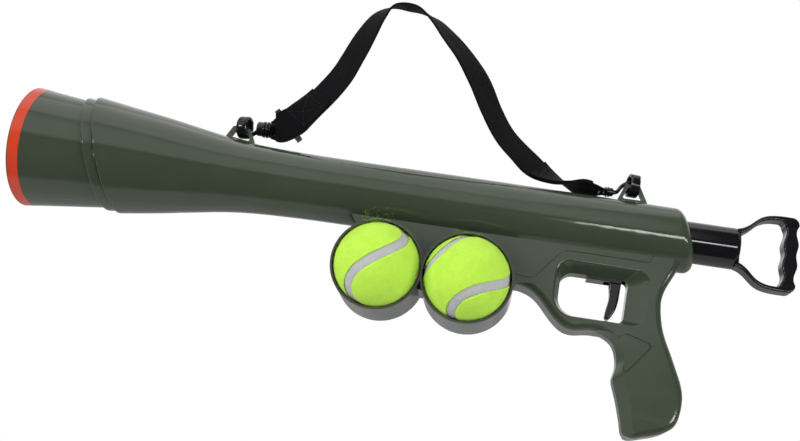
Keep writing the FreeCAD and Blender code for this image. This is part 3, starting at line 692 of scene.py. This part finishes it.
@dataclass
class Snap:
    """Snap hook of the sling: a flat band bent to a ring, its gate and neck, and the swivel barrel.

    All lengths are in mm. The ring's own angles, in degrees, go round from +X towards +Z.
    """

    name: str
    centre: Floats
    # turn of the ring's plane about Z
    turn: float
    neck: Sequence[Floats]
    barrel_at: Floats
    barrel_aim: float
    barrel_r: float
    barrel_len: float
    # whether the webbing's eye lies flat
    lying: bool = False
    # share of the band's width that is left next to the gate's hinge
    slim: float = 1.0
    slim_over: float = 80.0
    eye_wide: float = 11.0
    inner: float = 6.4
    outer: float = 9.0
    width: float = 7.4
    gate_half: float = 3.3
    gap_from: float = 42.0
    gap_to: float = 344.0
    hinge_r: float = 1.0

    @staticmethod
    def sweep(bm: Mesh, half: Sequence[tuple[float, float]], start: float, end: float, steps: int) -> None:
        """Spin a section round the ring and cap its ends.

        Args:
            bm: mesh that it is added to.
            half: radius and place along the ring's axis of the corners on one side of its middle plane.
            start: first angle in degrees.
            end: last angle in degrees.
            steps: cuts along the arc.
        """
        a = math.radians(start)
        outline = [*half, *((r, -y) for r, y in reversed(half))]
        verts = [bm.verts.new((r * MM * math.cos(a), y * MM, r * MM * math.sin(a))) for r, y in outline]
        edges = [bm.edges.new((verts[i], verts[(i + 1) % len(verts)])) for i in range(len(verts))]
        bmesh.ops.spin(bm, geom=verts + edges, cent=(0, 0, 0), axis=(0, -1, 0), steps=steps,
                       angle=math.radians(end - start))
        bmesh.ops.holes_fill(bm, edges=[e for e in bm.edges if e.is_boundary], sides=0)

    def stand(self, bm: Mesh) -> None:
        """Turn the ring's own plane to its place."""
        turn_about(bm, self.turn, "Z")
        move(bm, Vector(self.centre) * MM)

    def band(self, bm: Mesh) -> None:
        """Add the band, with rounded corners and slimmer towards the gate's hinge if asked."""
        w, r0, r1 = self.width / 2, self.inner, self.outer
        half = [(r0, 0.80 * w), (r0 + 0.3, 0.95 * w), (r0 + 0.8, w), (r1 - 0.5, w), (r1 - 0.1, 0.92 * w),
                (r1, 0.78 * w)]
        self.sweep(bm, half, self.gap_from, self.gap_to, 60)
        for v in bm.verts:
            along = (math.degrees(math.atan2(v.co.z, v.co.x)) - self.gap_from) % 360.0
            near = self.gap_to - self.gap_from - along
            v.co.y *= self.slim + (1.0 - self.slim) * min(1.0, max(0.0, near / self.slim_over))

    def gate(self) -> Piece:
        """Sprung gate that closes the ring, with rounded corners."""
        bm = bmesh.new()
        w, r0, r1 = self.gate_half, self.inner + 0.2, self.outer - 0.15
        half = [(r0, 0.75 * w), (r0 + 0.4, w), (r1 - 0.5, w), (r1 - 0.1, 0.90 * w), (r1, 0.75 * w)]
        self.sweep(bm, half, self.gap_to - 360.0 + 13.0, self.gap_from - 1.5, 14)
        self.stand(bm)
        outward(bm)
        return settle(bm, self.name + "_sprung_gate")

    def hinge(self) -> Piece:
        """Steel pin that the gate turns on."""
        n, r = self.width - 0.8, self.hinge_r
        bm = lathe(((0, 0), (0, r - 0.2), (0.2, r), (n - 0.2, r), (n, r - 0.2), (n, 0)))
        move(bm, (-n / 2 * MM, 0, 0))
        turn_about(bm, 90.0, "Z")
        a = math.radians(self.gap_to + 6.5)
        middle = (self.inner + self.outer) / 2 * MM
        move(bm, (middle * math.cos(a), 0, middle * math.sin(a)))
        self.stand(bm)
        return settle(bm, self.name + "_hinge_pin")

    def ring(self) -> Piece:
        """Band and neck in one piece."""
        bm = bmesh.new()
        self.band(bm)
        self.stand(bm)
        line = smooth_run([Vector(p) * MM for p in self.neck], 6)
        last = len(line) - 1
        bar(bm, line, [(2.0 - 0.5 * math.sin(math.pi * i / last)) * MM for i in range(last + 1)])
        outward(bm)
        return settle(bm, self.name + "_hook_band")

    def swivel(self) -> Piece:
        """Barrel with turned grooves and the flat eye that the webbing passes through."""
        r, n = self.barrel_r, self.barrel_len
        bm = lathe(((0, 0), (0, r - 1.4), (0.3, r - 0.9), (0.9, r - 0.7), (0.40 * n, r - 0.7),
                    (0.44 * n, r - 0.2), (0.47 * n, r), (0.56 * n, r), (0.59 * n, r - 0.25),
                    (0.61 * n, r - 1.1), (0.67 * n, r - 1.1), (0.69 * n, r - 0.25), (0.72 * n, r),
                    (0.80 * n, r), (0.83 * n, r - 0.25), (0.85 * n, r - 1.3), (0.90 * n, r - 1.3),
                    (0.92 * n, r - 0.5), (0.95 * n, r - 0.3), (n - 0.2, r - 0.4), (n, r - 0.9), (n, 0)))
        h, d, c = self.eye_wide / 2 - 0.9, n + 0.2, n + 3.6
        corners = [(d, -h), (c - 0.9, -h), (c, -h + 0.9), (c, h - 0.9), (c - 0.9, h), (d, h)]
        line = smooth_run([Vector((x, 0, z)) * MM for x, z in corners], 5, True)
        bar(bm, line, [1.0 * MM] * len(line), 12, True)
        if self.lying:
            turn_about(bm, 90.0, "X")
        turn_about(bm, self.barrel_aim, "Y")
        move(bm, Vector(self.barrel_at) * MM)
        outward(bm)
        return settle(bm, self.name + "_swivel_barrel")

    def build(self, paints: Paints) -> None:
        """Make and dress the hook and its swivel."""
        paints.place(self.hinge(), Body.SLING, Slot.STEEL)
        for obj, node, body in ((self.ring(), self.name + "_hook", Body.SLING),
                                (self.swivel(), self.name + "_swivel", Body.SLING),
                                (self.gate(), self.name + "_gate", Body(self.name + "_gate"))):
            obj.data.set_sharp_from_angle(angle=math.radians(40))
            paints.place(obj, body, Slot.BLACK)
            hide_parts(node)


@dataclass
class Screws:
    """Pan-head screws with cross recesses, in the far side's counterbores. All lengths are in mm."""

    # x and z of each screw
    spots: Sequence[tuple[float, float]] = ((501.0, -136.0), (489.0, -96.0), (498.5, -46.0), (417.0, -55.5),
                                            (326.8, -38.52))
    seat: float = 10.0
    head_r: float = 3.1
    head_h: float = 2.4
    shank_r: float = 1.35
    tip: float = -8.4
    # the recess: reach and half width of its arms, depth, and size of its floor against its mouth
    arm: float = 1.35
    arm_half: float = 0.34
    recess: float = 1.3
    narrowing: float = 0.7

    def screw(self, x: float, z: float, turn: float) -> Mesh:
        """One screw at its place, turned by where it was driven home."""
        r, h, end = self.head_r, self.head_h, self.tip - self.seat
        bm = lathe(((end, 0), (end + 1.8, self.shank_r), (-0.1, self.shank_r), (0, r - 0.15), (0.2, r),
                    (0.55 * h, r - 0.1), (0.85 * h, r - 0.55), (h, r - 1.2)), 24)
        rim = [e for e in bm.edges if e.is_boundary]
        arm, wide = self.arm, self.arm_half
        cross, quarter = [], [(wide, wide), (wide, arm), (-wide, arm)]
        for _ in range(4):
            cross += quarter
            quarter = [(-b, a) for a, b in quarter]
        top = [bm.verts.new(Vector((h, a, b)) * MM) for a, b in cross]
        slot = [bm.edges.new((top[i], top[(i + 1) % len(top)])) for i in range(len(top))]
        bmesh.ops.triangle_fill(bm, edges=rim + slot, use_beauty=True)
        sunk = bmesh.ops.extrude_edge_only(bm, edges=slot)["geom"]
        low = [v for v in sunk if isinstance(v, bmesh.types.BMVert)]
        bmesh.ops.translate(bm, verts=low, vec=(-self.recess * MM, 0, 0))
        bmesh.ops.scale(bm, verts=low, vec=(1.0, self.narrowing, self.narrowing))
        bmesh.ops.holes_fill(bm, edges=[e for e in bm.edges if e.is_boundary], sides=0)
        outward(bm)
        turn_about(bm, math.degrees(turn), "X")
        turn_about(bm, 90.0, "Z")
        move(bm, Vector((x, self.seat, z)) * MM)
        return bm

    def build(self, paints: Paints) -> None:
        """Make and dress all the screws as one piece."""
        whole = gathered(self.screw(x, z, 0.4 + 1.1 * i) for i, (x, z) in enumerate(self.spots))
        obj = paints.place(settle(whole, "cross_screws"), Body.LAUNCHER, Slot.ZINC)
        obj.data.set_sharp_from_angle(angle=math.radians(35))
        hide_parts("shell_screws")


@dataclass
class Coil:
    """Compression spring with closed end turns.

    The radii of its turns and of its wire are in mm, as is how much shorter it gets, which is not used.
    """

    node: str
    body: Body
    joint: str
    axis: int
    radius: float
    wire: float
    turns: int
    shorter: float
    per_turn: int = 22

    def build(self, paints: Paints) -> None:
        """Make and dress the spring in the place of its solid."""
        low, high = (Vector(corner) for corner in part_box(self.node))
        start, end = low[self.axis] + self.wire * MM, high[self.axis] - self.wire * MM
        middle = (low + high) / 2
        dead = 2 * self.wire * MM
        line = []
        for i in range(self.turns * self.per_turn + 1):
            t = i / self.per_turn
            if t < 1.0:
                along = start + dead * t
            elif t > self.turns - 1.0:
                along = end - dead * (self.turns - t)
            else:
                along = start + dead + (end - start - 2 * dead) * (t - 1.0) / (self.turns - 2.0)
            a = math.tau * t
            spot = middle.copy()
            spot[self.axis] = along
            spot[(self.axis + 1) % 3] += self.radius * MM * math.cos(a)
            spot[(self.axis + 2) % 3] += self.radius * MM * math.sin(a)
            line.append(spot)
        bm = bmesh.new()
        bar(bm, line, [self.wire * MM] * len(line), 8)
        outward(bm)
        obj = paints.place(settle(bm, self.node + "_coil"), self.body, Slot.STEEL)
        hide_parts(self.node)
        anchor = middle.copy()
        anchor[self.axis] = low[self.axis]
        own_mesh(obj)


@dataclass
class Sling:
    """Webbing strap between the two swivels, with its sewn tails."""

    # x and z in mm, turn about the sling's own line in degrees, share of the full width
    stations: Sequence[tuple[float, float, float, float]] = (
        (187.0, 42.4, 0, 0.52), (190.2, 43.0, 0, 0.70), (195.4, 44.6, 0, 0.97), (203.6, 51.2, 0, 1),
        (208.2, 56.8, 9, 1), (214.4, 64.8, 18, 1), (224.4, 78.5, 23, 1), (233.8, 95.0, 27, 1),
        (240.8, 113.6, 31, 1), (247.6, 134.6, 37, 1), (255.0, 152.6, 48, 1), (265.0, 162.6, 66, 1),
        (278.0, 163.9, 77, 1), (290.3, 161.8, 74, 1), (302.8, 154.4, 62, 1), (315.6, 142.2, 53, 1),
        (330.0, 127.4, 48, 1), (344.6, 107.8, 42, 1), (357.0, 85.4, 43, 1), (370.0, 66.2, 41, 1),
        (384.4, 52.4, 37, 1), (398.2, 41.2, 36, 1), (413.0, 34.0, 58, 1), (424.5, 31.0, 78, 1),
        (436.0, 30.2, 101, 0.94), (446.0, 30.4, 98, 0.76), (454.5, 30.9, 90, 0.42))
    width: float = 25.0 * MM
    thick: float = 1.5 * MM
    steps: int = 420
    lanes: int = 24
    seam_gap: float = 0.15 * MM
    stitch: float = 2.6 * MM
    thread_r: float = 0.32 * MM
    # half width of a sewn box, as a share of the width
    box_half: float = 0.38
    # the keeper by the front hook: its share of the way along, its spread and how far it lifts the webbing
    keeper: Floats = (0.085, 0.03, 1.0 * MM)
    # each sewn tail: name, start and end as shares of the way along, and where its sewn box starts and ends
    tails: Sequence[tuple[str, float, float, float, float]] = (
        ("front_tail", 0.045, 0.225, 0.135, 0.211), ("rear_tail", 0.81, 0.95, 0.824, 0.887))

    def at(self, u: float) -> tuple[Vector, float, float]:
        """Centre, turn and width at a share of the way along, by a smooth curve through the stations."""
        n = len(self.stations) - 1
        x = min(max(u * n, 0.0), n - 1e-6)
        i = int(x)
        f = x - i
        near = [self.stations[min(max(i + k, 0), n)] for k in (-1, 0, 1, 2)]
        px, pz, turn, wide = (between(*values, f) for values in zip(*near))
        return Vector((px * MM, 0, pz * MM)), math.radians(turn), wide * self.width

    def frame(self, u: float) -> tuple[Vector, Vector, Vector, float]:
        """Centre, direction across, direction out of the webbing's face, and width."""
        here, turn, wide = self.at(u)
        along = (self.at(u + 0.004)[0] - self.at(u - 0.004)[0]).normalized()
        up = Vector((-along.z, 0, along.x))
        across = up * math.cos(turn) + Vector((0, 1, 0)) * math.sin(turn)
        return here, across, along.cross(across), wide

    def spot(self, u: float, w: float, lift: float = 0.0) -> Vector:
        """Point on the webbing.

        Args:
            u: share of the way along.
            w: share of the width, from -0.5 to 0.5.
            lift: distance off its middle plane, in metres.

        Returns:
            The point, with the webbing's crown, waves and the folds of its gathered ends.
        """
        here, across, out, wide = self.frame(u)
        crown = 0.9 * MM * (0.25 - w * w) * math.sin(9.0 * u + 0.6)
        wave = 0.45 * MM * noise.noise(Vector((26.0 * u, 2.2 * w, 1.7)))
        gather = 2.4 * MM * max(0.0, 1.0 - wide / self.width) * math.cos(math.tau * 1.5 * w + 0.5)
        middle, spread, rise = self.keeper
        kept = rise * math.exp(-((u - middle) / spread) ** 2)
        return here + across * (w * wide) + out * (lift + crown + wave + gather + kept)

    def ribbon(self, name: str, u0: float, u1: float, steps: int, lift: float = 0.0) -> Piece:
        """Length of webbing along the sling's line.

        Args:
            name: name of the piece.
            u0: start, as a share of the way.
            u1: end, as a share of the way.
            steps: cuts along the length.
            lift: how far it lies off the line, in metres.

        Returns:
            The ribbon, with its UV map in millimetres.
        """
        bm = bmesh.new()
        uv = bm.loops.layers.uv.new("yarns")
        bmesh.ops.create_grid(bm, x_segments=steps, y_segments=self.lanes, size=0.5)
        length = [0.0]
        for k in range(steps):
            a, b = (self.at(u0 + (u1 - u0) * j / steps)[0] for j in (k, k + 1))
            length.append(length[-1] + (b - a).length)
        for face in bm.faces:
            for loop in face.loops:
                co = loop.vert.co
                k = round((co.x + 0.5) * steps)
                loop[uv].uv = (length[k] / MM, co.y * self.width / MM)
        for v in bm.verts:
            v.co = self.spot(u0 + (u1 - u0) * (v.co.x + 0.5), v.co.y, lift)
        obj = settle(bm, name)
        skin = obj.modifiers.new("thickness", "SOLIDIFY")
        skin.thickness = self.thick
        skin.offset = 0.0
        edge = obj.modifiers.new("selvedge", "BEVEL")
        edge.width = 0.4 * MM
        edge.segments = 2
        edge.limit_method = "ANGLE"
        return obj

    def stitches(self, name: str, u0: float, u1: float, low: float, high: float) -> Piece:
        """Box of stitches with a cross inside, on both faces of a sewn tail.

        Args:
            name: name of the piece.
            u0: start, as a share of the way.
            u1: end, as a share of the way.
            low: lift of the lower face, in metres.
            high: lift of the upper face, in metres.
        """
        corners = [Vector(c) for c in ((u0, -self.box_half), (u1, -self.box_half),
                                       (u1, self.box_half), (u0, self.box_half))]
        bm = bmesh.new()
        for i, j in ((0, 1), (1, 2), (2, 3), (3, 0), (0, 2), (1, 3)):
            start, way = corners[i], corners[j] - corners[i]
            count = max(3, round((self.spot(*corners[j]) - self.spot(*start)).length / self.stitch))
            for k in range(count):
                for lift in (low, high):
                    p, q = (self.spot(*(start + way * (k + f) / count), lift) for f in (0.14, 0.86))
                    turn = Vector((1, 0, 0)).rotation_difference(q - p).to_matrix().to_4x4()
                    stretch = Matrix.Diagonal(((q - p).length / 2, self.thread_r, self.thread_r, 1.0))
                    bmesh.ops.create_icosphere(bm, subdivisions=1, radius=1.0,
                                               matrix=Matrix.Translation((p + q) / 2) @ turn @ stretch)
        return settle(bm, name)

    def build(self, paints: Paints) -> None:
        """Make and dress the strap, its tails and their stitching."""
        strap = paints.place(self.ribbon("sling_strap", 0.0, 1.0, self.steps), Body.SLING, Slot.WEBBING)
        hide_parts("strap_webbing")
        extras = []
        lift, edge = self.thick + self.seam_gap, self.thick / 2
        for name, start, end, sewn_from, sewn_to in self.tails:
            tail = self.ribbon(name, start, end, 70, lift)
            sewn = self.stitches(name + "_stitches", sewn_from, sewn_to, -edge, lift + edge)
            extras += [paints.place(tail, Body.SLING, Slot.WEBBING),
                       paints.place(sewn, Body.SLING, Slot.WEBBING, "thread")]


@dataclass(frozen=True)
class View:
    """The camera, set as the object was seen: focal length in mm for a 36 mm wide frame."""

    lens: float = 47.51
    spot: Floats = (0.389818, -0.778342, -0.232577)
    right: Floats = (0.983377, 0.064086, 0.169892)
    down: Floats = (0.145641, 0.280391, -0.948773)
    ahead: Floats = (-0.108439, 0.957744, 0.266397)

    def build(self) -> None:
        """Make the camera and the scene's active camera of it."""
        data = bpy.data.cameras.new("view")
        data.lens = self.lens
        data.sensor_width = 36.0
        data.clip_start = 0.01
        camera = shown("view", data)
        axes = Matrix((self.right, [-v for v in self.down], [-v for v in self.ahead])).transposed().to_4x4()
        camera.matrix_world = Matrix.Translation(Vector(self.spot)) @ axes
        bpy.context.scene.camera = camera


@dataclass(frozen=True)
class Lamp:
    """Soft lamp: an area light of a width and height in metres and a power in watts."""

    name: str
    spot: Floats
    aim: Floats
    size: Floats
    power: float
    # whether it lights matt surfaces, and whether gloss mirrors it
    lit: bool
    mirrored: bool

    def build(self) -> None:
        """Make the lamp."""
        data = bpy.data.lights.new(self.name, "AREA")
        data.shape = "RECTANGLE"
        data.size, data.size_y = self.size
        data.energy = self.power
        lamp = shown(self.name, data)
        lamp.visible_diffuse, lamp.visible_glossy = self.lit, self.mirrored
        lamp.location = self.spot
        lamp.rotation_euler = (Vector(self.aim) - lamp.location).to_track_quat("-Z", "Y").to_euler()


@dataclass(frozen=True)
class Studio:
    """Plain pale floor whose glow in reflections is a painted reflection, dim on the near side, white
    surround that is dim only on the near side, and soft lamps.
    """

    floor_z: float = -0.36
    surround: float = 0.75
    # strength on the near side of the surround's light and of the floor's painted reflection
    near_side: float = 0.10
    front_sky: float = 0.95
    top_sky: float = 0.45
    lamps: Sequence[Lamp] = (
        Lamp("overhead", (0.08, -0.30, 1.5), (0.20, -0.05, 0.0), (1.4, 1.6), 6.2, True, True),
        Lamp("front_left", (-1.15, -1.00, 0.30), (0.25, 0.0, 0.0), (1.0, 1.2), 24.0, True, False),
        Lamp("front_right", (1.75, -0.95, 0.30), (0.35, 0.0, 0.0), (0.8, 1.2), 19.0, True, False),
        Lamp("glint", (-1.00, -1.35, 0.03), (0.30, 0.0, 0.0), (0.22, 0.20), 4.0, False, True),
        Lamp("strip", (1.50, -2.00, -0.17), (0.75, 0.0, 0.0), (1.9, 0.25), 19.0, False, True))

    @staticmethod
    def rays(t: Tree) -> tuple[Node, Node]:
        """Light path node, and the mask of the rays that come straight from the camera."""
        ray = t.add("LightPath")
        return ray, t.math("MAXIMUM", (ray, "Is Camera Ray"), (ray, "Is Transmission Ray"))

    def floor(self) -> None:
        """Floor that fades into the white surround away from the object; where gloss mirrors it, it glows
        with a set strength that is dim on the object's near side, a painted reflection.
        """
        bm = bmesh.new()
        bmesh.ops.create_grid(bm, x_segments=1, y_segments=1, size=12.0,
                              matrix=Matrix.Translation((0.3, 0, self.floor_z)))
        obj = settle(bm, "floor", False)
        t = Coat("floor_paper")
        at = t.place()
        grain = t.spread(t.noise(at, 500.0), (0.3, 0.7), (0.0, 1.0))
        colour = t.blend(grain, (0.66,) * 3, (0.63,) * 3)
        rough = t.spread(grain, (0, 1), (0.85, 0.95))
        t.finish(colour, rough, t.bump(grain, 0.1 * MM), Specular_IOR_Level=0.1)
        reach = t.add("VectorMath", operation="LENGTH")
        t.join(at, reach, 0)
        far = t.spread((reach, "Value"), (0.9, 2.6), (0.0, 1.0))
        ray, plain = self.rays(t)
        axes = t.add("SeparateXYZ")
        t.join(at, axes, 0)
        # painted reflection: the floor's glow as gloss mirrors it, dim on the near side and weaker far
        # behind
        near = t.spread((axes, "Y"), (-0.115, -0.065), (self.near_side, 0.70))
        behind = t.math("MULTIPLY", near, t.spread((axes, "Y"), (0.2, 0.6), (1.0, 0.64)))
        shown = t.math("MAXIMUM", t.math("MULTIPLY", far, plain), (ray, "Is Glossy Ray"))
        white = t.add("Emission", {"Color": (1, 1, 1, 1)})
        t.join(t.math("MAXIMUM", behind, plain), white, "Strength")
        both = t.add("MixShader")
        t.join(shown, both, 0)
        t.join(t.shader, both, 1)
        t.join(white, both, 2)
        t.join(both, t.output, "Surface")
        obj.data.materials.append(t.material)

    def world(self) -> None:
        """Surround: white where it is seen; where it lights or is mirrored, dim on the near side."""
        world = bpy.data.worlds.new("surround")
        bpy.context.scene.world = world
        t = Tree(world)
        axes = t.add("SeparateXYZ")
        t.join(t.add("TexCoord"), axes, 0)
        behind = t.spread((axes, "Y"), (-0.30, 0.40), (self.near_side, 1.0))
        rising = t.spread((axes, "Z"), (0.09, 0.21), (0.0, self.front_sky))
        falling = t.spread((axes, "Z"), (0.60, 0.82), (1.0, self.top_sky / self.front_sky))
        fading = t.spread((axes, "X"), (0.14, 0.185), (1.0, 0.08))
        sky = t.math("MULTIPLY", t.math("MULTIPLY", rising, falling), fading)
        low = t.math("MULTIPLY", behind, t.spread((axes, "Z"), (0.30, 0.42), (0.35, 1.0)))
        glow = t.math("MAXIMUM", low, sky)
        ray, plain = self.rays(t)
        both = t.add("MixShader")
        t.join(t.math("MAXIMUM", plain, (ray, "Is Glossy Ray")), both, 0)
        lit, seen = t.math("MULTIPLY", glow, self.surround), t.math("MAXIMUM", glow, plain)
        for strength, into in ((lit, 1), (seen, 2)):
            light = t.add("Background", {"Color": (1, 1, 1, 1)})
            t.join(strength, light, "Strength")
            t.join(light, both, into)
        t.join(both, t.add("OutputWorld"), "Surface")

    def build(self) -> None:
        """Make floor, surround and lamps, and set the plain view transform."""
        bpy.context.scene.view_settings.view_transform = "Standard"
        self.floor()
        self.world()
        for lamp in self.lamps:
            lamp.build()


def dress_nodes(paints: Paints) -> None:
    """Give every CAD node the finish of its slot in the record."""
    for row in frame["record"]["subparts"]:
        kind = row["node"].split("_")[-1]
        own = kind if kind in ("core", "shell") else None
        paints.dress(frame["nodes"][row["node"]], Slot(row["material_slot"]), own)


def main() -> None:
    """Build the view, the pieces and the studio in order."""
    logging.basicConfig(level=logging.INFO, format="%(message)s")
    View().build()
    paints = Paints()
    dress_nodes(paints)
    Ball("front_ball", "front_ball_felt", Body.FRONT_BALL, turn=(0.0628, -2.2824, 0.051), lobe=0.7147,
         seed=11).build(paints)
    Ball("rear_ball", "rear_ball_felt", Body.REAR_BALL, turn=(-0.456, 1.191, 0.867), lobe=0.78,
         seed=12).build(paints)
    Lint().build(paints)
    Snap("front", centre=(166.2, 0.0, 41.0), turn=77.0,
         neck=((166.3, 0.8, 34.2), (169.3, 3.9, 34.9), (173.0, 3.0, 37.6), (177.6, 0.0, 40.2)),
         barrel_at=(176.4, 0, 41.8), barrel_aim=0.0, barrel_r=6.4, barrel_len=11.3, slim=0.4).build(paints)
    Snap("rear", centre=(473.6, 0.0, 38.0), turn=-79.0,
         neck=((472.7, 5.1, 43.4), (466.0, 5.4, 38.6), (462.2, 1.0, 32.0), (459.0, 0.0, 30.9)),
         barrel_at=(459.3, 0, 30.9), barrel_aim=174.0, barrel_r=4.0, barrel_len=7.0,
         lying=True).build(paints)
    Screws().build(paints)
    for coil in (Coil("main_spring", Body.PLUNGER, "plunger_slide", 0, 18.6, 1.1, 16, 130.0),
                 Coil("trigger_spring", Body.LAUNCHER, "trigger_pull", 2, 1.2, 0.25, 4, 2.0),
                 Coil("sear_spring", Body.LAUNCHER, "sear_drop", 2, 2.4, 0.3, 4, 0.9)):
        coil.build(paints)
    Sling().build(paints)
    Studio().build()


if __name__ == "__main__":
    main()
